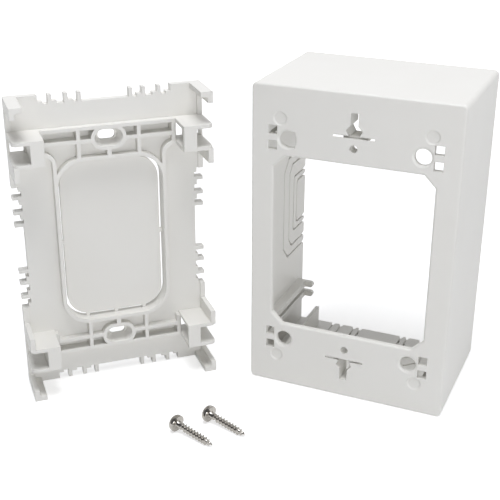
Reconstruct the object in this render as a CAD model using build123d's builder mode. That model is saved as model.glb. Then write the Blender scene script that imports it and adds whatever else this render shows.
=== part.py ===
"""Surface-mount junction box of white plastic, taken apart: cover, mounting base and two screws.

The cover stands on its bottom end, centred on the origin, with its front towards -Y and its
open back towards +Y. The mounting base stands beside it on its two bottom corner posts, turned
to face between -Y and +X. The two screws lie in front of the base. All lengths are millimetres.
"""

import os
from math import asin, cos, degrees, radians, sin

from build123d import *

os.makedirs("parts", exist_ok=True)

# Cover: outer shell
cover_width = 80.4
cover_height = 125.0
cover_depth = 55.0
wall = 2.0
front_wall = 2.2
outer_round = 2.0
front_round = 0.9
back_lead_in = 0.6

# Cover: device opening, and the screw holes that carry the device
opening_width = 62.2
opening_height = 70.8
opening_corner = 4.5
opening_round = 0.9
device_screw_spacing = 83.3
device_hole_diameter = 3.0
device_boss_diameter = 6.4
device_boss_length = 3.3

# Cover: keyhole through a thick block with a slit across it, above and below the opening
keyhole_top = 55.1
keyhole_stem_width = 3.0
keyhole_flare_start = 50.3
keyhole_flare_height = 48.5
keyhole_flare_width = 6.4
keyhole_neck_width = 3.8
slit_height_from_middle = 46.1
keyhole_block_depth = 6.8
keyhole_block_wall = 1.5
slit_length = 15.8
slit_width = 0.7
slit_flare_angle = 20.0

# Cover: holes and recesses in the four corners of the front
corner_hole_x = 25.8
corner_hole_y = 42.0
corner_hole_diameter = 6.3
corner_hole_rim_diameter = 8.0
corner_hole_rim_angle = 118.0
dimple_x = 28.8
dimple_y = 49.8
dimple_diameter = 5.6
dimple_depth = 0.5
dimple_slope = 50.0
core_hole_size = 3.5
core_hole_offset = 0.8
core_hole_pitch = 5.95

# Cover: nested breakout lines inside the four walls, outermost first, each as half its length
# along the open edge, its reach from that edge and the size of its two cut corners
breakout_lines = (
    (22.3, 25.0, 5.0),
    (18.5, 19.0, 3.5),
    (12.3, 14.0, 1.2),
    (9.5, 10.5, 1.0),
)
breakout_line_width = 0.8
breakout_line_depth = 0.5
breakout_dash_length = 2.2
breakout_notch_width = 2.2
breakout_notch_length = 3.6
breakout_skin = 0.6

# Cover: forked snap arms on the side walls and ribs on the end walls
snap_height_from_middle = 42.3
snap_prong_thickness = 2.6
snap_prong_gap = 1.8
snap_arm_reach = 3.9
snap_hook_reach = 7.4
snap_hook_length = 1.8
snap_back_gap = 5.5
end_rib_x = 29.15
end_rib_thickness = 1.5
end_rib_height = 9.0
end_rib_back_gap = 4.5

# Base: back plate, which slides into the open back of the cover
fit_gap = 0.4
base_depth = 18.4
plate_thickness = 3.2
edge_strip_width = 2.0
edge_strip_rise = 0.8

# Base: recess in each of the four edges, with teeth that break off
recess_half_length = 25.4
recess_depth = 3.5
recess_step_length = 1.9
recess_step_height = 1.0
tooth_centres = (9.8, 14.8, 20.9)
tooth_width = 1.45
tooth_foot_length = 2.0
tooth_foot_height = 1.0

# Base: corner posts and side walls
post_thickness = 2.0
post_leg_width = 4.8
post_leg_height = 4.4
post_root_round = 1.0
side_wall_length = 5.9

# Base: channel tower in each corner, which guides and catches a snap arm
snap_clearance = 0.15
flange_thickness = 1.4
tower_corner_round = 2.0
bridge_width = 5.1
bridge_thickness = 1.8
web_thickness = 0.9
catch_overlap = 0.5
catch_clearance = 0.4
tower_hole_rim = 0.8
tower_hole_web_gap = 0.3
inner_hole_inset = 1.0

# Base: raised ribs, screw bosses and the round-cornered breakout panel
rib_rise = 3.0
rib_thickness = 1.5
second_rib_offset = 0.7
post_rib_x = 11.7
pocket_floor = 1.4
boss_wall = 1.45
boss_travel = 4.1
boss_slot_travel = 2.9
boss_slot_land = 1.2
boss_funnel_angle = 16.0
screw_head_gap = 0.1
screw_slot_gap = 0.35
boss_tab_width = 1.8
rim_tower_gap = 4.15
rim_boss_gap = 2.15
rim_corner = 11.5
panel_gap_side = 1.05
panel_gap_end = 1.3
panel_thickness = 2.2
panel_tab_width = 1.6
panel_tab_thickness = 1.2
arch_radius = 4.5

# Base: where the middle of its front edge stands, and how far it is turned
base_place_x = -82.7
base_place_y = -55.4
base_turn = 43.0

# Screws: pan head, core, thread and point, and where their heads lie
screw_head_diameter = 6.6
screw_head_height = 2.5
screw_head_edge = 0.8
screw_head_shoulder = 5.7
screw_head_shoulder_height = 1.8
screw_head_flat = 4.2
screw_length = 17.5
screw_core_diameter = 2.5
screw_thread_diameter = 3.1
screw_point_length = 3.4
screw_point_diameter = 0.5
cross_length = 3.4
cross_width = 0.9
cross_depth = 1.4
cross_taper = 8.0
screw_turn = -15.3
screw_places = ((-48.9, -76.7), (-40.4, -65.8))

# Sizes that follow from the ones above
cover_inner_width = cover_width - 2 * wall
cover_inner_height = cover_height - 2 * wall
cover_inner_depth = cover_depth - front_wall
base_width = cover_inner_width - 2 * fit_gap
base_height = cover_inner_height - 2 * fit_gap
snap_prong_pitch = snap_prong_thickness + snap_prong_gap
snap_span = snap_prong_pitch + snap_prong_thickness
channel_height = snap_span + 2 * snap_clearance
flange_pitch = channel_height + flange_thickness
outer_flange_y = snap_height_from_middle + flange_pitch / 2
inner_flange_y = snap_height_from_middle - flange_pitch / 2
hook_tip_x = cover_inner_width / 2 - snap_hook_reach
core_hole_x = hook_tip_x + core_hole_offset
web_outer_x = hook_tip_x + catch_overlap
tower_inner_x = web_outer_x - bridge_width
rib_front = plate_thickness + rib_rise
boss_mouth_height = screw_head_diameter + 2 * screw_head_gap
boss_height = boss_mouth_height + 2 * boss_wall
boss_slot_height = screw_thread_diameter + 2 * screw_slot_gap
boss_y = snap_height_from_middle
second_rib_y = boss_y - second_rib_offset
rim_half_width = tower_inner_x - rim_tower_gap
rim_half_height = boss_y - boss_height / 2 - rim_boss_gap
slit_outer_width = 2 * (rim_half_width - rib_thickness)
slit_outer_height = 2 * (rim_half_height - rib_thickness)
slit_outer_corner = rim_corner - rib_thickness
panel_width = slit_outer_width - 2 * panel_gap_side
panel_height = slit_outer_height - 2 * panel_gap_end
panel_corner = slit_outer_corner - panel_gap_side


def mirrored_pairs(values):
    """Return every value with its negative."""
    return [sign * value for value in values for sign in (-1, 1)]


# The cover's flat working planes: its open back edge, and its front face, both facing the front
cover_back = Plane(
    origin=(0, cover_depth / 2, cover_height / 2), x_dir=(1, 0, 0), z_dir=(0, -1, 0)
)
cover_front = cover_back.offset(cover_depth)


def inner_wall_face(outward, distance):
    """Return the plane of an inner wall face, with its origin at the middle of the open edge.

    Its x axis runs along the edge, its y axis to the front, and its z axis into the wall.
    """
    centre = Vector(0, cover_depth / 2, cover_height / 2)
    return Plane(
        origin=centre + outward * distance,
        x_dir=Vector(0, -1, 0).cross(outward),
        z_dir=outward,
    )


inner_wall_faces = [
    inner_wall_face(Vector(-1, 0, 0), cover_inner_width / 2),
    inner_wall_face(Vector(1, 0, 0), cover_inner_width / 2),
    inner_wall_face(Vector(0, 0, -1), cover_inner_height / 2),
    inner_wall_face(Vector(0, 0, 1), cover_inner_height / 2),
]

with BuildPart() as box_cover:
    # Shell with a closed front and rounded outer edges
    with BuildSketch(cover_back):
        Rectangle(cover_width, cover_height)
    extrude(amount=cover_depth)
    fillet(box_cover.edges().filter_by(Axis.Y), outer_round)
    fillet(box_cover.faces().sort_by(Axis.Y)[0].edges(), front_round)
    with BuildSketch(cover_back):
        Rectangle(cover_inner_width, cover_inner_height)
    extrude(amount=cover_inner_depth, mode=Mode.SUBTRACT)
    open_edge = box_cover.faces().sort_by(Axis.Y)[-1]
    chamfer(open_edge.inner_wires()[0].edges(), back_lead_in)

    # Bosses behind the two device screw holes, and the thick blocks behind the two keyholes
    with BuildSketch(cover_back.offset(cover_inner_depth)):
        with GridLocations(0, device_screw_spacing, 1, 2):
            Circle(device_boss_diameter / 2)
    extrude(amount=-device_boss_length)
    block_width = keyhole_flare_width + 2 * keyhole_block_wall
    block_bottom = slit_height_from_middle - slit_width / 2 - keyhole_block_wall
    block_height = keyhole_top + keyhole_block_wall - block_bottom
    with BuildSketch(cover_back.offset(cover_inner_depth)):
        with GridLocations(0, 2 * block_bottom + block_height, 1, 2):
            Rectangle(block_width, block_height)
    extrude(amount=-keyhole_block_depth)

    # Ribs in the corners of the two end walls
    end_rib_y = (cover_inner_height - end_rib_height) / 2
    with BuildSketch(cover_back.offset(end_rib_back_gap)):
        with GridLocations(2 * end_rib_x, 2 * end_rib_y, 2, 2):
            Rectangle(end_rib_thickness, end_rib_height)
    extrude(amount=cover_inner_depth - end_rib_back_gap)

    # Forked snap arms on the side walls, each prong ending in a round-tipped hook
    arm_x = (cover_inner_width - snap_arm_reach) / 2
    hook_round = snap_prong_thickness / 2
    hook_length = snap_hook_reach + hook_round
    hook_x = hook_tip_x + hook_length / 2
    snap_start = cover_back.offset(snap_back_gap)
    with BuildSketch(snap_start):
        with GridLocations(2 * arm_x, 2 * snap_height_from_middle, 2, 2):
            with GridLocations(0, snap_prong_pitch, 1, 2):
                Rectangle(snap_arm_reach, snap_prong_thickness)
    extrude(amount=cover_inner_depth - snap_back_gap)
    with BuildSketch(snap_start):
        with GridLocations(2 * hook_x, 2 * snap_height_from_middle, 2, 2):
            with GridLocations(0, snap_prong_pitch, 1, 2):
                SlotOverall(hook_length, snap_prong_thickness)
    extrude(amount=snap_hook_length)

    # Device opening with cut corners and a rounded front edge
    with BuildSketch(cover_front) as opening:
        Rectangle(opening_width, opening_height)
        chamfer(opening.vertices(), opening_corner)
    extrude(amount=-front_wall, mode=Mode.SUBTRACT)
    front_face = box_cover.faces().sort_by(Axis.Y)[0]
    fillet(front_face.inner_wires()[0].edges(), opening_round)

    # Device screw holes, through the wall and the bosses
    with BuildSketch(cover_front):
        with GridLocations(0, device_screw_spacing, 1, 2):
            Circle(device_hole_diameter / 2)
    extrude(amount=-front_wall - device_boss_length, mode=Mode.SUBTRACT)

    # Keyholes that flare above their slits, right through their blocks
    with BuildSketch(cover_front):
        with BuildLine():
            stem = keyhole_stem_width / 2
            flare = keyhole_flare_width / 2
            neck = keyhole_neck_width / 2
            Polyline(
                (-stem, keyhole_top),
                (-stem, keyhole_flare_start),
                (-flare, keyhole_flare_height),
                (-neck, slit_height_from_middle),
                (neck, slit_height_from_middle),
                (flare, keyhole_flare_height),
                (stem, keyhole_flare_start),
                (stem, keyhole_top),
                close=True,
            )
        make_face()
        mirror(about=Plane.XZ)
    extrude(amount=-front_wall - keyhole_block_depth, mode=Mode.SUBTRACT)

    # Slits that widen towards the inside of the cover
    with BuildSketch(cover_front):
        with GridLocations(0, 2 * slit_height_from_middle, 1, 2):
            Rectangle(slit_length, slit_width)
    extrude(amount=-front_wall, taper=-slit_flare_angle, mode=Mode.SUBTRACT)

    # Square openings in front of the snap hooks
    with BuildSketch(cover_front):
        with GridLocations(2 * core_hole_x, 2 * snap_height_from_middle, 2, 2):
            with GridLocations(0, core_hole_pitch, 1, 2):
                Rectangle(core_hole_size, core_hole_size)
    extrude(amount=-front_wall, mode=Mode.SUBTRACT)

    # Round holes with a shallow sunk rim, one of them squared on its inner side
    with Locations(cover_front):
        with GridLocations(2 * corner_hole_x, 2 * corner_hole_y, 2, 2):
            CounterSinkHole(
                corner_hole_diameter / 2,
                corner_hole_rim_diameter / 2,
                front_wall,
                corner_hole_rim_angle,
            )
    with BuildSketch(cover_front):
        with Locations((-corner_hole_x, corner_hole_y)):
            Rectangle(
                corner_hole_diameter / 2, corner_hole_diameter, align=(Align.MIN, Align.CENTER)
            )
    extrude(amount=-front_wall, mode=Mode.SUBTRACT)

    # Shallow round dimples with sloping sides near the corners
    with BuildSketch(cover_front):
        with GridLocations(2 * dimple_x, 2 * dimple_y, 2, 2):
            Circle(dimple_diameter / 2)
    extrude(amount=-dimple_depth, taper=dimple_slope, mode=Mode.SUBTRACT)

    # Breakout lines inside the walls, with deeper dashes and a notch at each end
    for face in inner_wall_faces:
        with BuildSketch(face):
            for half_length, reach, corner in breakout_lines:
                with BuildLine():
                    Polyline(
                        (-half_length, 0),
                        (-half_length, reach - corner),
                        (corner - half_length, reach),
                        (half_length - corner, reach),
                        (half_length, reach - corner),
                        (half_length, 0),
                    )
            trace(line_width=breakout_line_width)
        extrude(amount=breakout_line_depth, mode=Mode.SUBTRACT)
        with BuildSketch(face):
            for half_length, reach, corner in breakout_lines:
                with GridLocations(2 * half_length, 0, 2, 1):
                    Polygon(
                        (-breakout_notch_width / 2, 0),
                        (breakout_notch_width / 2, 0),
                        (0, breakout_notch_length),
                        align=(Align.CENTER, Align.MIN),
                    )
                    corner_dash_y = reach - corner - breakout_dash_length / 2
                    with Locations((0, reach / 2), (0, corner_dash_y)):
                        Rectangle(breakout_line_width, breakout_dash_length)
        extrude(amount=wall - breakout_skin, mode=Mode.SUBTRACT)

box_cover.part.label = "box_cover"
export_step(box_cover.part, "parts/box_cover.step")

# The base's working planes: the back of its plate facing the front, and a level one through its
# middle, whose x axis runs along its width and whose y axis points to its back
base_across = Vector(cos(radians(base_turn)), sin(radians(base_turn)), 0)
base_facing = Vector(sin(radians(base_turn)), -cos(radians(base_turn)), 0)
base_middle = Vector(base_place_x, base_place_y, base_height / 2) - base_facing * base_depth
base_back = Plane(origin=base_middle, x_dir=base_across, z_dir=base_facing)
base_level = Plane(origin=base_middle, x_dir=base_across, z_dir=(0, 0, 1))

# The middle of each edge of the plate, turned so that its y axis points out of the plate
plate_edges = [
    Location((0, base_height / 2, 0), (0, 0, 0)),
    Location((0, -base_height / 2, 0), (0, 0, 180)),
    Location((-base_width / 2, 0, 0), (0, 0, 90)),
    Location((base_width / 2, 0, 0), (0, 0, -90)),
]

with BuildPart() as mounting_base:
    # Back plate with a toothed recess in each edge
    with BuildSketch(base_back):
        Rectangle(base_width, base_height)
        with Locations(*plate_edges):
            Rectangle(
                2 * recess_half_length,
                recess_depth,
                align=(Align.CENTER, Align.MAX),
                mode=Mode.SUBTRACT,
            )
            step_x = recess_half_length - recess_step_length / 2
            with Locations(*[(x, -recess_depth) for x in mirrored_pairs([step_x])]):
                Rectangle(
                    recess_step_length, recess_step_height, align=(Align.CENTER, Align.MIN)
                )
            with Locations(*[(x, -recess_depth) for x in mirrored_pairs(tooth_centres)]):
                Rectangle(tooth_width, recess_depth, align=(Align.CENTER, Align.MIN))
            foot_centres = [x - (tooth_width + tooth_foot_length) / 2 for x in tooth_centres[1:]]
            with Locations(*[(x, -recess_depth) for x in mirrored_pairs(foot_centres)]):
                Rectangle(tooth_foot_length, tooth_foot_height, align=(Align.CENTER, Align.MIN))
    extrude(amount=plate_thickness)

    # Low strips along the two long edges, from the recess to the corner
    strip_length = base_height / 2 - recess_half_length
    with BuildSketch(base_back):
        with GridLocations(
            base_width - edge_strip_width, 2 * recess_half_length + strip_length, 2, 2
        ):
            Rectangle(edge_strip_width, strip_length)
    extrude(amount=plate_thickness + edge_strip_rise)

    # Pockets between the two cross ribs, deeper than the face of the plate
    pocket_top = outer_flange_y - flange_thickness / 2
    pocket_height = pocket_top - second_rib_y
    pocket_width = 2 * tower_inner_x - rib_thickness
    with BuildSketch(base_back.offset(plate_thickness)):
        with GridLocations(0, 2 * second_rib_y + pocket_height, 1, 2):
            Rectangle(pocket_width, pocket_height)
        with GridLocations(0, 2 * boss_y, 1, 2):
            SlotOverall(boss_height + boss_travel, boss_height, mode=Mode.SUBTRACT)
    extrude(amount=pocket_floor - plate_thickness, mode=Mode.SUBTRACT)

    # Breakout panel: a thin panel, a slit through the plate round it, and the tabs that hold it
    with BuildSketch(base_back):
        RectangleRounded(slit_outer_width, slit_outer_height, slit_outer_corner)
        RectangleRounded(panel_width, panel_height, panel_corner, mode=Mode.SUBTRACT)
    extrude(amount=plate_thickness, mode=Mode.SUBTRACT)
    with BuildSketch(base_back.offset(panel_thickness)):
        RectangleRounded(panel_width, panel_height, panel_corner)
    extrude(amount=plate_thickness - panel_thickness, mode=Mode.SUBTRACT)
    with BuildSketch(base_back.offset(panel_thickness)):
        with GridLocations(post_rib_x, panel_height + panel_gap_end, 3, 2):
            Rectangle(panel_tab_width, panel_gap_end + rib_thickness)
        with GridLocations(panel_width + panel_gap_side, 0, 2, 1):
            Rectangle(panel_gap_side + rib_thickness, panel_tab_width)
    extrude(amount=-panel_tab_thickness)

    # Ribs: cross ribs, posts between them, rim of the panel, arches beside it and screw bosses
    tower_rib_x = tower_inner_x - rib_thickness / 2
    arch_x = rim_half_width - rib_thickness / 2
    with BuildSketch(base_back.offset(pocket_floor)):
        with GridLocations(0, 2 * outer_flange_y, 1, 2):
            Rectangle(2 * tower_inner_x, flange_thickness)
        with GridLocations(0, 2 * second_rib_y, 1, 2):
            Rectangle(2 * tower_rib_x, rib_thickness)
        with GridLocations(2 * post_rib_x, rim_half_height + outer_flange_y, 2, 2):
            Rectangle(rib_thickness, outer_flange_y - rim_half_height + rib_thickness / 2)
        with GridLocations(2 * tower_rib_x, 2 * snap_height_from_middle, 2, 2):
            Rectangle(rib_thickness, flange_pitch)
        with GridLocations(0, 2 * boss_y, 1, 2):
            SlotOverall(boss_height + boss_travel, boss_height)
        with GridLocations(0, rim_half_height + boss_y - rib_thickness / 2, 1, 2):
            Rectangle(boss_tab_width, boss_y - rim_half_height + rib_thickness / 2)
        RectangleRounded(2 * rim_half_width, 2 * rim_half_height, rim_corner)
        RectangleRounded(
            slit_outer_width, slit_outer_height, slit_outer_corner, mode=Mode.SUBTRACT
        )
        with BuildLine():
            upright = Line((arch_x, 0), (arch_x, inner_flange_y - arch_radius))
            bend = JernArc(upright @ 1, upright % 1, arch_radius, -90)
            Line(bend @ 1, (tower_inner_x + rib_thickness, inner_flange_y))
        arch = trace(line_width=rib_thickness)
        mirror(arch, about=Plane.XZ)
        mirror(about=Plane.YZ)
    extrude(amount=rib_front - pocket_floor)

    # Funnel in each boss, down to a slot through the plate
    with BuildSketch(base_back.offset(rib_front)):
        with GridLocations(0, 2 * boss_y, 1, 2):
            SlotOverall(boss_mouth_height + boss_travel, boss_mouth_height)
    extrude(amount=boss_slot_land - rib_front, taper=boss_funnel_angle, mode=Mode.SUBTRACT)
    with BuildSketch(base_back):
        with GridLocations(0, 2 * boss_y, 1, 2):
            SlotOverall(boss_slot_height + boss_slot_travel, boss_slot_height)
    extrude(amount=plate_thickness, mode=Mode.SUBTRACT)

    # Holes through the plate on both sides of the web of each tower
    outer_hole_start = web_outer_x + tower_hole_web_gap
    outer_hole_end = base_width / 2 - tower_hole_rim
    inner_hole_start = tower_inner_x + inner_hole_inset
    inner_hole_end = web_outer_x - web_thickness
    with BuildSketch(base_back):
        with GridLocations(outer_hole_start + outer_hole_end, 2 * snap_height_from_middle, 2, 2):
            Rectangle(outer_hole_end - outer_hole_start, channel_height)
        with GridLocations(inner_hole_start + inner_hole_end, 2 * snap_height_from_middle, 2, 2):
            Rectangle(inner_hole_end - inner_hole_start, channel_height)
    extrude(amount=plate_thickness + edge_strip_rise, mode=Mode.SUBTRACT)

    # Towers: two flanges, each with its outer front corner rounded
    flange_width = base_width / 2 - tower_inner_x
    for flange_y in mirrored_pairs([outer_flange_y, inner_flange_y]):
        with BuildSketch(base_level.offset(flange_y)) as flange:
            with Locations((tower_inner_x, 0)):
                Rectangle(flange_width, base_depth, align=(Align.MIN, Align.MAX))
            front_corners = flange.vertices().sort_by(Axis.Y)[:2]
            fillet(front_corners.sort_by(Axis.X)[-1], tower_corner_round)
            mirror(about=Plane.YZ)
        extrude(amount=flange_thickness / 2, both=True)

    # Towers: the web that closes the channel, and the bridge across its front
    catch_front = snap_back_gap + snap_hook_length + catch_clearance
    with BuildSketch(base_back.offset(catch_front)):
        with GridLocations(2 * web_outer_x - web_thickness, 2 * snap_height_from_middle, 2, 2):
            Rectangle(web_thickness, flange_pitch)
    extrude(amount=base_depth - catch_front)
    with BuildSketch(base_back.offset(base_depth)):
        with GridLocations(web_outer_x + tower_inner_x, 2 * snap_height_from_middle, 2, 2):
            Rectangle(bridge_width, flange_pitch + flange_thickness)
    extrude(amount=-bridge_thickness)

    # Side walls between the recess and the towers
    side_wall_y = inner_flange_y - side_wall_length / 2
    with BuildSketch(base_back):
        with GridLocations(base_width - post_thickness, 2 * side_wall_y, 2, 2):
            Rectangle(post_thickness, side_wall_length)
    extrude(amount=base_depth)

    # Corner posts, angled round the corners of the plate
    post_root_x = base_width / 2 - post_thickness
    post_root_y = base_height / 2 - post_thickness
    with BuildSketch(base_back) as posts:
        with BuildLine():
            Polyline(
                (base_width / 2, base_height / 2),
                (base_width / 2 - post_leg_width, base_height / 2),
                (base_width / 2 - post_leg_width, post_root_y),
                (post_root_x, post_root_y),
                (post_root_x, base_height / 2 - post_leg_height),
                (base_width / 2, base_height / 2 - post_leg_height),
                close=True,
            )
        make_face()
        root = posts.vertices().sort_by_distance((post_root_x, post_root_y))[0]
        fillet(root, post_root_round)
        mirror(about=Plane.XZ)
        mirror(about=Plane.YZ)
    extrude(amount=base_depth)

mounting_base.part.label = "mounting_base"
export_step(mounting_base.part, "parts/mounting_base.step")

# A lying screw touches the floor with the rim of its head and with its last full thread
screw_contact_run = screw_length - screw_point_length + screw_head_edge / 2
screw_tilt = degrees(asin((screw_head_diameter - screw_thread_diameter) / 2 / screw_contact_run))

with BuildPart() as mounting_screws:
    for head_x, head_y in screw_places:
        along = Vector(
            cos(radians(screw_turn)) * cos(radians(screw_tilt)),
            sin(radians(screw_turn)) * cos(radians(screw_tilt)),
            -sin(radians(screw_tilt)),
        )
        sideways = Vector(-sin(radians(screw_turn)), cos(radians(screw_turn)), 0)
        head_seat = Vector(head_x, head_y, screw_head_diameter / 2 * cos(radians(screw_tilt)))
        lengthwise = Plane(origin=head_seat, x_dir=along, z_dir=along.cross(sideways))
        with BuildSketch(lengthwise):
            with BuildLine():
                Polyline(
                    (-screw_head_height, 0),
                    (-screw_head_height, screw_head_flat / 2),
                    (-screw_head_shoulder_height, screw_head_shoulder / 2),
                    (-screw_head_edge, screw_head_diameter / 2),
                    (0, screw_head_diameter / 2),
                    (0, screw_core_diameter / 2),
                    (screw_length - screw_point_length, screw_core_diameter / 2),
                    (screw_length, screw_point_diameter / 2),
                    (screw_length, 0),
                    close=True,
                )
            make_face()
        revolve(axis=Axis(head_seat, along))
        head_top = Plane(origin=head_seat - along * screw_head_height, x_dir=sideways, z_dir=along)
        with BuildSketch(head_top):
            Rectangle(cross_length, cross_width)
            Rectangle(cross_width, cross_length)
        extrude(amount=cross_depth, taper=cross_taper, mode=Mode.SUBTRACT)

mounting_screws.part.label = "mounting_screws"
export_step(mounting_screws.part, "parts/mounting_screws.step")
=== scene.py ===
"""Looks of the surface-mount junction box: white mouldings and two bright self-tapping screws.

The cover and the mounting base keep their solids and get a moulded-plastic finish. The screws get
bodies with a helical thread in place of their plain solids. Lengths are metres in the model's
frame: the cover stands on the origin with its front towards -Y, and +Z is up.
"""

import logging
import math
from dataclasses import dataclass, field
from enum import Enum

import bmesh
import bpy
import numpy as np
from mathutils import Matrix, Vector

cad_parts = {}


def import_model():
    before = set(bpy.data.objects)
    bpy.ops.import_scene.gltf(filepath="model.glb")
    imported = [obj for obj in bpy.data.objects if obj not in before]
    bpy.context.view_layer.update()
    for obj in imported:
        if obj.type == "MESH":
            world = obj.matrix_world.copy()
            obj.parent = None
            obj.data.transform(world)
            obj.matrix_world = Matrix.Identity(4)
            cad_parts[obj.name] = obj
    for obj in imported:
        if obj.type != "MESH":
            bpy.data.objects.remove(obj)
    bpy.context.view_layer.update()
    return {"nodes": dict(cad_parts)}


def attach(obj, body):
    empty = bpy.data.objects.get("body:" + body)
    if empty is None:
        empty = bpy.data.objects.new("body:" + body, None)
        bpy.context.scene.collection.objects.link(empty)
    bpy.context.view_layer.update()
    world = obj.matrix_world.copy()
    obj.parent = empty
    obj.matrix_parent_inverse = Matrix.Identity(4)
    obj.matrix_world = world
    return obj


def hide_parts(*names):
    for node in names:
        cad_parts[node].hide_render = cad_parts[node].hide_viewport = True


LOG = logging.getLogger("junction_box")
MM = 0.001

PHOTO_WIDTH = 500
SENSOR_WIDTH = 36.0
WHITE = "#FFFFFF"


def linear(hex_colour: str) -> tuple[float, float, float, float]:
    """Turn an sRGB hex colour into linear light with full alpha.

    Args:
        hex_colour: Six hex digits, with or without a leading hash.

    Returns:
        Red, green, blue and alpha, each from 0 to 1.
    """
    digits = hex_colour.lstrip("#")
    levels = [int(digits[i : i + 2], 16) / 255 for i in (0, 2, 4)]
    light = [v / 12.92 if v <= 0.04045 else ((v + 0.055) / 1.055) ** 2.4 for v in levels]
    return (light[0], light[1], light[2], 1.0)


def add_node(
    tree: bpy.types.NodeTree,
    kind: str,
    settings: dict | None = None,
    inputs: dict | None = None,
) -> bpy.types.Node:
    """Add one node to a node tree, set it up and link it.

    Args:
        tree: The node tree that gets the node.
        kind: The node's type name, such as "ShaderNodeBump".
        settings: Attributes of the node and their values.
        inputs: Sockets, by name or index, each with a value or an output socket to link from.

    Returns:
        The new node.
    """
    node = tree.nodes.new(kind)
    for name, value in (settings or {}).items():
        setattr(node, name, value)
    for name, value in (inputs or {}).items():
        if isinstance(value, bpy.types.NodeSocket):
            tree.links.new(value, node.inputs[name])
        else:
            node.inputs[name].default_value = value
    return node


def blank_material(name: str) -> tuple[bpy.types.Material, bpy.types.NodeTree]:
    """Make a material whose node tree is empty.

    Args:
        name: The material's name.

    Returns:
        The material and its node tree.
    """
    made = bpy.data.materials.new(name)
    made.use_nodes = True
    made.node_tree.nodes.clear()
    return made, made.node_tree


@dataclass(frozen=True)
class MouldedPlastic:
    """White ABS, injection moulded in a finely spark-eroded tool.

    The eroded tool leaves a fine even grain, so the plastic has a low sheen and no mirror. The
    melt's flow leaves a faint drift of tone over a few centimetres, and no edge is quite sharp.
    """

    name: str = "white_moulded_abs"
    colour: str = "#ECEBE6"
    shade: str = "#E8E6E0"
    roughness: float = 0.42
    ior: float = 1.53
    # A real eroded grain is about 0.05 mm wide. It is drawn coarser, so that it shows.
    grain: float = 0.35 * MM
    grain_depth: float = 0.004 * MM
    grain_detail: float = 1.0
    grain_strength: float = 0.6
    flow: float = 28 * MM
    flow_detail: float = 2.0
    edge_round: float = 0.35 * MM
    edge_samples: int = 6

    def material(self) -> bpy.types.Material:
        """Make the node material.

        Returns:
            A material that reads Object coordinates.
        """
        made, tree = blank_material(self.name)
        place = add_node(tree, "ShaderNodeTexCoord").outputs["Object"]
        flow = add_node(
            tree,
            "ShaderNodeTexNoise",
            inputs={"Vector": place, "Scale": 1 / self.flow, "Detail": self.flow_detail},
        )
        tint = add_node(
            tree,
            "ShaderNodeMix",
            {"data_type": "RGBA"},
            {
                "Factor": flow.outputs["Fac"],
                6: linear(self.shade),
                7: linear(self.colour),
            },
        )
        grain = add_node(
            tree,
            "ShaderNodeTexNoise",
            inputs={"Vector": place, "Scale": 1 / self.grain, "Detail": self.grain_detail},
        )
        rounded = add_node(
            tree,
            "ShaderNodeBevel",
            {"samples": self.edge_samples},
            {"Radius": self.edge_round},
        )
        bump = add_node(
            tree,
            "ShaderNodeBump",
            inputs={
                "Height": grain.outputs["Fac"],
                "Distance": self.grain_depth,
                "Strength": self.grain_strength,
                "Normal": rounded.outputs["Normal"],
            },
        )
        shader = add_node(
            tree,
            "ShaderNodeBsdfPrincipled",
            inputs={
                "Base Color": tint.outputs[2],
                "Roughness": self.roughness,
                "IOR": self.ior,
                "Normal": bump.outputs["Normal"],
            },
        )
        add_node(
            tree, "ShaderNodeOutputMaterial", inputs={"Surface": shader.outputs["BSDF"]}
        )
        return made


@dataclass(frozen=True)
class PlatedSteel:
    """Cold-headed steel with bright nickel plating.

    Heading and thread rolling leave a smooth surface, so the plating mirrors the room softly. It
    is a little uneven, which gives a mottle of darker, warmer grey about a millimetre wide.
    """

    name: str = "bright_nickel_plate"
    colour: str = "#BDBAB5"
    stain: str = "#928D86"
    metallic: float = 1.0
    roughness: float = 0.1
    mottle: float = 1.1 * MM
    mottle_depth: float = 0.006 * MM
    mottle_detail: float = 3.0
    mottle_strength: float = 0.5

    def material(self) -> bpy.types.Material:
        """Make the node material.

        Returns:
            A metal that reads Object coordinates.
        """
        made, tree = blank_material(self.name)
        place = add_node(tree, "ShaderNodeTexCoord").outputs["Object"]
        mottle = add_node(
            tree,
            "ShaderNodeTexNoise",
            inputs={"Vector": place, "Scale": 1 / self.mottle, "Detail": self.mottle_detail},
        )
        tint = add_node(
            tree,
            "ShaderNodeMix",
            {"data_type": "RGBA"},
            {
                "Factor": mottle.outputs["Fac"],
                6: linear(self.stain),
                7: linear(self.colour),
            },
        )
        bump = add_node(
            tree,
            "ShaderNodeBump",
            inputs={
                "Height": mottle.outputs["Fac"],
                "Distance": self.mottle_depth,
                "Strength": self.mottle_strength,
            },
        )
        shader = add_node(
            tree,
            "ShaderNodeBsdfPrincipled",
            inputs={
                "Base Color": tint.outputs[2],
                "Metallic": self.metallic,
                "Roughness": self.roughness,
                "Normal": bump.outputs["Normal"],
            },
        )
        add_node(
            tree, "ShaderNodeOutputMaterial", inputs={"Surface": shader.outputs["BSDF"]}
        )
        return made


def new_piece(name: str, points: np.ndarray, faces: np.ndarray | list) -> bpy.types.Object:
    """Put points and faces into a new mesh object at the origin.

    Args:
        name: The piece's name.
        points: An array of corner places, one row each.
        faces: The corner numbers of each face.

    Returns:
        The new object, linked to the scene.
    """
    mesh = bpy.data.meshes.new(name)
    mesh.from_pydata(points.tolist(), [], [list(map(int, face)) for face in faces])
    mesh.validate()
    mesh.update()
    piece = bpy.data.objects.new(name, mesh)
    bpy.context.scene.collection.objects.link(piece)
    return piece


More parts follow.
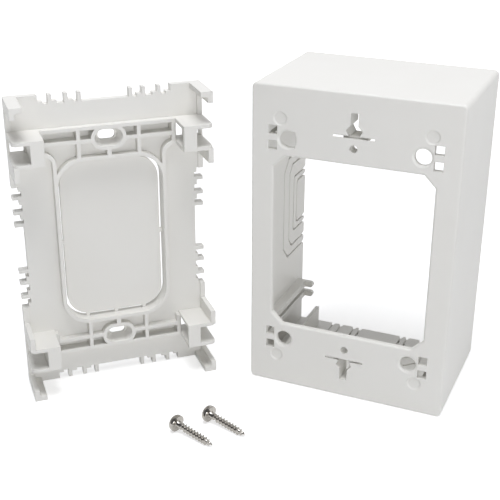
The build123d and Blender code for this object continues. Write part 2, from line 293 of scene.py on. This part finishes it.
@dataclass
class TappingScrew:
    """One pan-head self-tapping screw, lying on the rim of its head and on its thread.

    It is worked out by its depth along its own axis. The head's underside is at depth 0, the
    head lies at negative depths, and the neck, thread and point lie at positive ones.
    """

    name: str
    head_x: float
    head_y: float
    spin: float
    turn: float = math.radians(-15.3)
    head_radius: float = 3.3 * MM
    head_height: float = 2.5 * MM
    head_edge: float = 0.8 * MM
    head_flat: float = 2.0 * MM
    head_rim_round: float = 0.12 * MM
    crown_rows: int = 12
    length: float = 17.5 * MM
    neck_length: float = 2.6 * MM
    neck_radius: float = 1.35 * MM
    neck_fillet: float = 0.5 * MM
    neck_fillet_middle: tuple[float, float] = (0.12 * MM, 0.14 * MM)
    neck_run_in: float = 0.3 * MM
    root_radius: float = 0.98 * MM
    crest_radius: float = 1.57 * MM
    crest_base: float = 0.5
    crest_fullness: float = 0.85
    pitch: float = 1.45 * MM
    thread_start_turns: float = 0.5
    thread_fade_turns: float = 1.6
    point_length: float = 3.4 * MM
    point_radius: float = 0.12 * MM
    tip_length: float = 0.1 * MM
    cross_length: float = 3.4 * MM
    cross_width: float = 0.9 * MM
    cross_depth: float = 1.4 * MM
    cross_foot_share: float = 0.55
    cross_clearance: float = 0.3 * MM
    sides: int = 48
    rows_per_turn: int = 14
    merge_distance: float = 0.001 * MM
    sliver_length: float = 0.0001 * MM
    sharp_angle: float = math.radians(40)

    def tilt(self) -> float:
        """Return how far the screw's axis dips towards its point, in radians."""
        run = self.length - self.point_length + self.head_edge / 2
        return math.asin((self.head_radius - self.crest_radius) / run)

    def placement(self) -> Matrix:
        """Work out how the screw lies on the floor.

        Its own +Z, which runs from head to point, is turned about the vertical and dips by the
        tilt, so that the rim of the head and the crest of the thread both touch the floor.

        Returns:
            The matrix that takes the standing screw to its place.
        """
        tilt = self.tilt()
        along = Vector(
            (
                math.cos(self.turn) * math.cos(tilt),
                math.sin(self.turn) * math.cos(tilt),
                -math.sin(tilt),
            )
        )
        across = Vector((-math.sin(self.turn), math.cos(self.turn), 0.0))
        upward = along.cross(across)
        axes = Matrix((across, upward, along)).transposed().to_4x4()
        seat = Vector((self.head_x, self.head_y, self.head_radius * math.cos(tilt)))
        return Matrix.Translation(seat) @ axes @ Matrix.Rotation(self.spin, 4, "Z")

    def envelope(self, depth: np.ndarray) -> tuple[np.ndarray, np.ndarray]:
        """Give the root radius and thread height at depths below the head.

        The root is straight and then runs in to the point as a cone. The thread height grows
        evenly over its first turns, stays full, and fades evenly over its last ones.

        Args:
            depth: Distances from the head's underside.

        Returns:
            The root radius and the height of the thread above it, for each depth.
        """
        to_point = np.clip((self.length - depth) / self.point_length, 0, 1)
        root = self.point_radius + (self.root_radius - self.point_radius) * to_point
        start_run = self.thread_start_turns * self.pitch
        fade_run = self.thread_fade_turns * self.pitch
        start = np.clip((depth - self.neck_length) / start_run, 0, 1)
        fade = np.clip((self.length - depth) / fade_run, 0, 1)
        return root, (self.crest_radius - self.root_radius) * start * fade

    def thread_grid(self) -> tuple[np.ndarray, np.ndarray]:
        """Work out the threaded surface as a grid sheared along the helix.

        A point at angle a on row i lies at depth z = z_i + pitch * a / 2 pi, held between the
        neck and the point, so the rows follow the crest. Its radius is the root plus the thread
        height times the ridge. The ridge is 1 on the crest and falls evenly to 0 where the
        distance from the crest is crest_base times half a pitch, all to the power of
        crest_fullness, which makes the flanks a little fuller.

        Returns:
            The points, row by row, and the faces that join them.
        """
        start = self.neck_length
        turns = math.ceil((self.length - start) / self.pitch) + 1
        count = turns * self.rows_per_turn + 1
        step = np.arange(-self.rows_per_turn, count)
        angle = np.arange(self.sides) / self.sides
        rows = step[:, None] / self.rows_per_turn
        depth = np.clip(start + self.pitch * (rows + angle[None, :]), start, self.length)
        root, height = self.envelope(depth)
        from_crest = np.abs((rows % 1.0) - 0.5) * 2
        ridge = np.clip(1 - from_crest / self.crest_base, 0, 1) ** self.crest_fullness
        radius = root + height * ridge
        turn = 2 * np.pi * angle[None, :] + np.zeros_like(depth)
        points = np.stack([radius * np.cos(turn), radius * np.sin(turn), depth], axis=-1)
        return self.grid_faces(points, self.rows_per_turn)

    @staticmethod
    def grid_faces(points: np.ndarray, shift: int) -> tuple[np.ndarray, np.ndarray]:
        """Join a grid of points into faces that close round its columns.

        Args:
            points: Rows by columns by three.
            shift: How many rows further down the last column meets the first.

        Returns:
            The points as one list and the four corner numbers of each face.
        """
        rows, columns = points.shape[:2]
        number = np.arange(rows * columns).reshape(rows, columns)
        inner = np.stack(
            [number[:-1, :-1], number[:-1, 1:], number[1:, 1:], number[1:, :-1]], axis=-1
        ).reshape(-1, 4)
        last = rows - 1 - shift
        seam = np.stack(
            [
                number[:last, -1],
                number[shift:-1, 0],
                number[shift + 1 :, 0],
                number[1 : last + 1, -1],
            ],
            axis=-1,
        )
        return points.reshape(-1, 3), np.concatenate([inner, seam])

    def head_profile(self) -> np.ndarray:
        """Give the head and neck outline as radius and depth, from the top to the thread.

        The crown is a quarter of an ellipse between the flat top and the edge of the rim. A
        hollow fillet joins the head's underside to the neck, and the neck runs in to the root.

        Returns:
            Rows of radius and depth.
        """
        sweep = np.linspace(math.pi / 2, 0, self.crown_rows)
        crown_radius = self.head_flat + (self.head_radius - self.head_flat) * np.cos(sweep)
        crown_depth = -self.head_edge - (self.head_height - self.head_edge) * np.sin(sweep)
        out, down = self.neck_fillet_middle
        rest = np.array(
            [
                [self.head_radius, -self.head_rim_round],
                [self.head_radius - self.head_rim_round, 0.0],
                [self.neck_radius + self.neck_fillet, 0.0],
                [self.neck_radius + out, down],
                [self.neck_radius, self.neck_fillet],
                [self.neck_radius, self.neck_length - self.neck_run_in],
                [self.root_radius, self.neck_length],
            ]
        )
        crown = np.stack([crown_radius, crown_depth], axis=-1)
        top = np.array([[0.0, -self.head_height]])
        return np.concatenate([top, crown, rest])

    def head_grid(self) -> tuple[np.ndarray, np.ndarray]:
        """Carry the head and neck outline once round the axis.

        Returns:
            The points, row by row, and the faces that join them.
        """
        outline = self.head_profile()
        turn = 2 * np.pi * np.arange(self.sides) / self.sides
        radius = outline[:, :1]
        depth = outline[:, 1:] + np.zeros((1, self.sides))
        points = np.stack([radius * np.cos(turn), radius * np.sin(turn), depth], axis=-1)
        return self.grid_faces(points, 0)

    def cross_cutter(self) -> bpy.types.Object:
        """Make the cross-shaped body that cuts the drive recess, narrower at its foot.

        A quarter of the cross has three corners, and the other quarters are it turned by right
        angles. The cross above the head and a smaller one at the recess's foot are joined.

        Returns:
            The cutter's object.
        """
        half, thin = self.cross_length / 2, self.cross_width / 2
        quarters = [np.array([[half, -thin], [half, thin], [thin, thin]])]
        for _ in range(3):
            quarters.append(np.column_stack([-quarters[-1][:, 1], quarters[-1][:, 0]]))
        ring = np.concatenate(quarters)
        count = len(ring)
        levels = (
            (1.0, -self.head_height - self.cross_clearance),
            (self.cross_foot_share, -self.head_height + self.cross_depth),
        )
        points = np.concatenate(
            [np.column_stack([ring * scale, np.full(count, depth)]) for scale, depth in levels]
        )
        walls = [
            [i, (i + 1) % count, count + (i + 1) % count, count + i] for i in range(count)
        ]
        ends = [list(range(count - 1, -1, -1)), list(range(count, 2 * count))]
        return new_piece(self.name + "_cutter", points, walls + ends)

    def build(self) -> bpy.types.Object:
        """Make the screw, cut its recess and lay it down.

        Returns:
            The finished object, at the origin with its place in its mesh.
        """
        head_points, head_faces = self.head_grid()
        thread_points, thread_faces = self.thread_grid()
        tip_point = np.array([[0.0, 0.0, self.length + self.tip_length]])
        points = np.concatenate([head_points, thread_points, tip_point])
        faces = np.concatenate([head_faces, thread_faces + len(head_points)])
        tip = len(points) - 1
        last = np.arange(self.sides) + tip - self.sides
        cap = np.stack([last, np.roll(last, -1), np.full(self.sides, tip)], axis=-1)
        screw = new_piece(self.name, points, [*faces.tolist(), *cap.tolist()])
        self.merge(screw)
        cutter = self.cross_cutter()
        cut = screw.modifiers.new("recess", "BOOLEAN")
        cut.object = cutter
        cut.operation = "DIFFERENCE"
        cut.solver = "EXACT"
        self.apply_modifiers(screw)
        bpy.data.objects.remove(cutter)
        screw.data.transform(self.placement())
        self.shade(screw)
        return screw

    def merge(self, screw: bpy.types.Object) -> None:
        """Merge points that lie on each other and turn every face outwards.

        Args:
            screw: The object whose mesh is mended.
        """
        work = bmesh.new()
        work.from_mesh(screw.data)
        bmesh.ops.remove_doubles(work, verts=work.verts, dist=self.merge_distance)
        bmesh.ops.dissolve_degenerate(work, edges=work.edges, dist=self.sliver_length)
        bmesh.ops.recalc_face_normals(work, faces=work.faces)
        work.to_mesh(screw.data)
        work.free()

    @staticmethod
    def apply_modifiers(screw: bpy.types.Object) -> None:
        """Put the result of the modifiers into the mesh and drop them.

        Args:
            screw: The object whose modifiers are applied.
        """
        graph = bpy.context.evaluated_depsgraph_get()
        made = bpy.data.meshes.new_from_object(screw.evaluated_get(graph))
        screw.modifiers.clear()
        screw.data = made

    def shade(self, screw: bpy.types.Object) -> None:
        """Shade the screw smooth, apart from its sharp edges."""
        screw.data.shade_smooth()
        screw.data.set_sharp_from_angle(angle=self.sharp_angle)


@dataclass
class ScrewPair:
    """The two loose screws that lie in front of the base."""

    finish: PlatedSteel = field(default_factory=PlatedSteel)
    screws: tuple[TappingScrew, ...] = (
        TappingScrew("near_screw", head_x=-48.9 * MM, head_y=-76.7 * MM, spin=math.radians(20)),
        TappingScrew("far_screw", head_x=-40.4 * MM, head_y=-65.8 * MM, spin=math.radians(65)),
    )

    def build(self) -> None:
        """Make both screws in place of their plain solids."""
        finish = self.finish.material()
        for screw in [design.build() for design in self.screws]:
            screw.data.materials.append(finish)
            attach(screw, "root")
            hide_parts("mounting_screws")
            LOG.info("%s: %d faces", screw.name, len(screw.data.polygons))


@dataclass
class Mouldings:
    """The cover and the mounting base, which keep their solids."""

    finish: MouldedPlastic = field(default_factory=MouldedPlastic)
    nodes: tuple[str, ...] = ("box_cover", "mounting_base")

    def dress(self, solids: dict[str, bpy.types.Object]) -> None:
        """Give both mouldings their finish.

        Args:
            solids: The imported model's objects by node name.
        """
        finish = self.finish.material()
        for node in self.nodes:
            mesh = solids[node].data
            mesh.materials.clear()
            mesh.materials.append(finish)
            LOG.info("%s: %d faces", node, len(mesh.polygons))


class Look(Enum):
    """Which rays see a surface's own light."""

    CAMERA = "Is Camera Ray"
    GLOSSY = "Is Glossy Ray"
    TRANSMISSION = "Is Transmission Ray"


@dataclass(frozen=True)
class RoomSide:
    """Soft light from one side of the room: the way to that side, and its strength."""

    direction: tuple[float, float, float]
    strength: float


@dataclass(frozen=True)
class SoftLamp:
    """One square lamp: its place and the length of its side in metres, and its watts."""

    name: str
    place: tuple[float, float, float]
    size: float
    watts: float


@dataclass
class Studio:
    """A pale floor, soft lamps, a pale room and the camera at the photograph's angle."""

    camera_place: tuple[float, float, float] = (105.14 * MM, -364.94 * MM, 219.37 * MM)
    azimuth: float = math.radians(23.366)
    pitch: float = math.radians(23.828)
    roll: float = math.radians(0.214)
    focal_pixels: float = 1015.17
    nearest_seen: float = 0.01
    furthest_seen: float = 50.0
    floor_size: float = 8.0
    floor_colour: str = "#DCDCDB"
    # The floor's own light grows with the distance from the object, up to full white.
    floor_glow: float = 0.54
    floor_glow_near: float = 0.2
    floor_glow_far: float = 0.6
    light_colour: str = "#FAFBFF"
    # A mirror sees white towards this side, and the room's own plain light away from it.
    backdrop_side: tuple[float, float, float] = (0.0, 0.8, -0.6)
    backdrop_none: float = -0.5
    backdrop_full: float = 0.1
    room_even: float = 0.06
    room_softness: float = 2.0
    room_sides: tuple[RoomSide, ...] = (
        RoomSide((1.0, 0.0, 0.0), 0.22),
        RoomSide((-1.0, 0.0, 0.0), 0.3),
        RoomSide((0.0, 0.9, 0.44), 0.75),
    )
    lamps: tuple[SoftLamp, ...] = (
        SoftLamp("key_lamp", (0.0, -0.22, 1.1), 0.55, 8.7),
        SoftLamp("front_lamp", (0.38, -0.57, 0.13), 0.3, 1.55),
    )
    lamps_aim: tuple[float, float, float] = (-0.02, 0.0, 0.06)

    def camera(self) -> None:
        """Set the camera up at the photograph's place and angle."""
        data = bpy.data.cameras.new("camera")
        data.sensor_fit = "HORIZONTAL"
        data.sensor_width = SENSOR_WIDTH
        data.lens = self.focal_pixels / PHOTO_WIDTH * SENSOR_WIDTH
        data.clip_start, data.clip_end = self.nearest_seen, self.furthest_seen
        camera = bpy.data.objects.new("camera", data)
        turn = Matrix.Rotation(self.azimuth, 4, "Z")
        dip = Matrix.Rotation(math.pi / 2 - self.pitch, 4, "X")
        lean = Matrix.Rotation(self.roll, 4, "Z")
        camera.matrix_world = Matrix.Translation(self.camera_place) @ turn @ dip @ lean
        bpy.context.scene.collection.objects.link(camera)
        bpy.context.scene.camera = camera

    def seen_rays(
        self, tree: bpy.types.NodeTree, mirrored: bpy.types.NodeSocket | float = 1.0
    ) -> bpy.types.NodeSocket:
        """Add up the rays that show a surface directly, in a mirror or through glass.

        Args:
            tree: The node tree that gets the nodes.
            mirrored: How much of the surface's own light a mirror or glass shows.

        Returns:
            A socket that is 1 for direct rays, the mirrored share for the others that show the
            surface, and 0 for the rest.
        """
        path = add_node(tree, "ShaderNodeLightPath")
        through = add_node(
            tree,
            "ShaderNodeMath",
            {"operation": "MAXIMUM"},
            {0: path.outputs[Look.GLOSSY.value], 1: path.outputs[Look.TRANSMISSION.value]},
        )
        total = add_node(
            tree,
            "ShaderNodeMath",
            {"operation": "MULTIPLY_ADD", "use_clamp": True},
            {0: through.outputs[0], 1: mirrored, 2: path.outputs[Look.CAMERA.value]},
        )
        return total.outputs[0]

    def floor(self) -> None:
        """Lay the pale floor, whose own light shows only to the rays that see it."""
        half = self.floor_size / 2
        corners = np.array(
            [[-half, -half, 0], [half, -half, 0], [half, half, 0], [-half, half, 0]]
        )
        floor = new_piece("floor", corners, np.array([[0, 1, 2, 3]]))
        made, tree = blank_material("pale_floor")
        paper = add_node(
            tree, "ShaderNodeBsdfDiffuse", inputs={"Color": linear(self.floor_colour)}
        )
        place = add_node(tree, "ShaderNodeTexCoord")
        away = add_node(
            tree, "ShaderNodeVectorMath", {"operation": "LENGTH"}, {0: place.outputs["Object"]}
        )
        strength = add_node(
            tree,
            "ShaderNodeMapRange",
            inputs={
                "Value": away.outputs["Value"],
                "From Min": self.floor_glow_near,
                "From Max": self.floor_glow_far,
                "To Min": self.floor_glow,
                "To Max": 1.0,
            },
        )
        glow = add_node(
            tree,
            "ShaderNodeEmission",
            inputs={"Color": linear(WHITE), "Strength": strength.outputs["Result"]},
        )
        both = add_node(
            tree, "ShaderNodeAddShader", inputs={0: paper.outputs[0], 1: glow.outputs[0]}
        )
        chosen = add_node(
            tree,
            "ShaderNodeMixShader",
            inputs={0: self.seen_rays(tree), 1: paper.outputs[0], 2: both.outputs[0]},
        )
        add_node(tree, "ShaderNodeOutputMaterial", inputs={"Surface": chosen.outputs[0]})
        floor.data.materials.append(made)

    def room(self) -> None:
        """Make the pale room, which looks white but lights the object at a plain level.

        The light from a direction is an even share plus, for each side, its strength times the
        cosine of the angle to that side, where it is above zero, to the power of room_softness.
        """
        world = bpy.data.worlds.new("pale_room")
        world.use_nodes = True
        tree = world.node_tree
        tree.nodes.clear()
        direction = add_node(tree, "ShaderNodeTexCoord").outputs["Generated"]
        strength: bpy.types.NodeSocket | float = self.room_even
        for side in self.room_sides:
            facing = add_node(
                tree,
                "ShaderNodeVectorMath",
                {"operation": "DOT_PRODUCT"},
                {0: direction, 1: side.direction},
            )
            near = add_node(
                tree,
                "ShaderNodeMath",
                {"operation": "MAXIMUM"},
                {0: facing.outputs["Value"], 1: 0.0},
            )
            soft = add_node(
                tree,
                "ShaderNodeMath",
                {"operation": "POWER"},
                {0: near.outputs[0], 1: self.room_softness},
            )
            added = add_node(
                tree,
                "ShaderNodeMath",
                {"operation": "MULTIPLY_ADD"},
                {0: soft.outputs[0], 1: side.strength, 2: strength},
            )
            strength = added.outputs[0]
        lit = add_node(
            tree,
            "ShaderNodeBackground",
            inputs={"Color": linear(self.light_colour), "Strength": strength},
        )
        seen = add_node(
            tree,
            "ShaderNodeBackground",
            inputs={"Color": linear(WHITE), "Strength": 1.0},
        )
        backdrop = add_node(
            tree,
            "ShaderNodeVectorMath",
            {"operation": "DOT_PRODUCT"},
            {0: direction, 1: self.backdrop_side},
        )
        share = add_node(
            tree,
            "ShaderNodeMapRange",
            inputs={
                "Value": backdrop.outputs["Value"],
                "From Min": self.backdrop_none,
                "From Max": self.backdrop_full,
            },
        )
        chosen = add_node(
            tree,
            "ShaderNodeMixShader",
            inputs={
                0: self.seen_rays(tree, share.outputs["Result"]),
                1: lit.outputs[0],
                2: seen.outputs[0],
            },
        )
        add_node(tree, "ShaderNodeOutputWorld", inputs={"Surface": chosen.outputs[0]})
        bpy.context.scene.world = world

    def hang(self, lamp: SoftLamp) -> None:
        """Hang one soft square lamp that faces the object.

        Args:
            lamp: The lamp's name, place, size and power.
        """
        data = bpy.data.lights.new(lamp.name, "AREA")
        data.size = lamp.size
        data.energy = lamp.watts
        data.color = linear(self.light_colour)[:3]
        made = bpy.data.objects.new(lamp.name, data)
        place = Vector(lamp.place)
        aim = Vector(self.lamps_aim) - place
        made.rotation_euler = aim.to_track_quat("-Z", "Y").to_euler()
        made.location = place
        bpy.context.scene.collection.objects.link(made)

    def build(self) -> None:
        """Set up the floor, the room, the lamps and the camera."""
        self.floor()
        self.room()
        for lamp in self.lamps:
            self.hang(lamp)
        self.camera()
        bpy.context.scene.view_settings.view_transform = "Standard"


def main() -> None:
    """Build the whole scene."""
    logging.basicConfig(level=logging.INFO, format="%(name)s: %(message)s")
    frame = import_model()
    Mouldings().dress(frame["nodes"])
    ScrewPair().build()
    Studio().build()


if __name__ == "__main__":
    main()
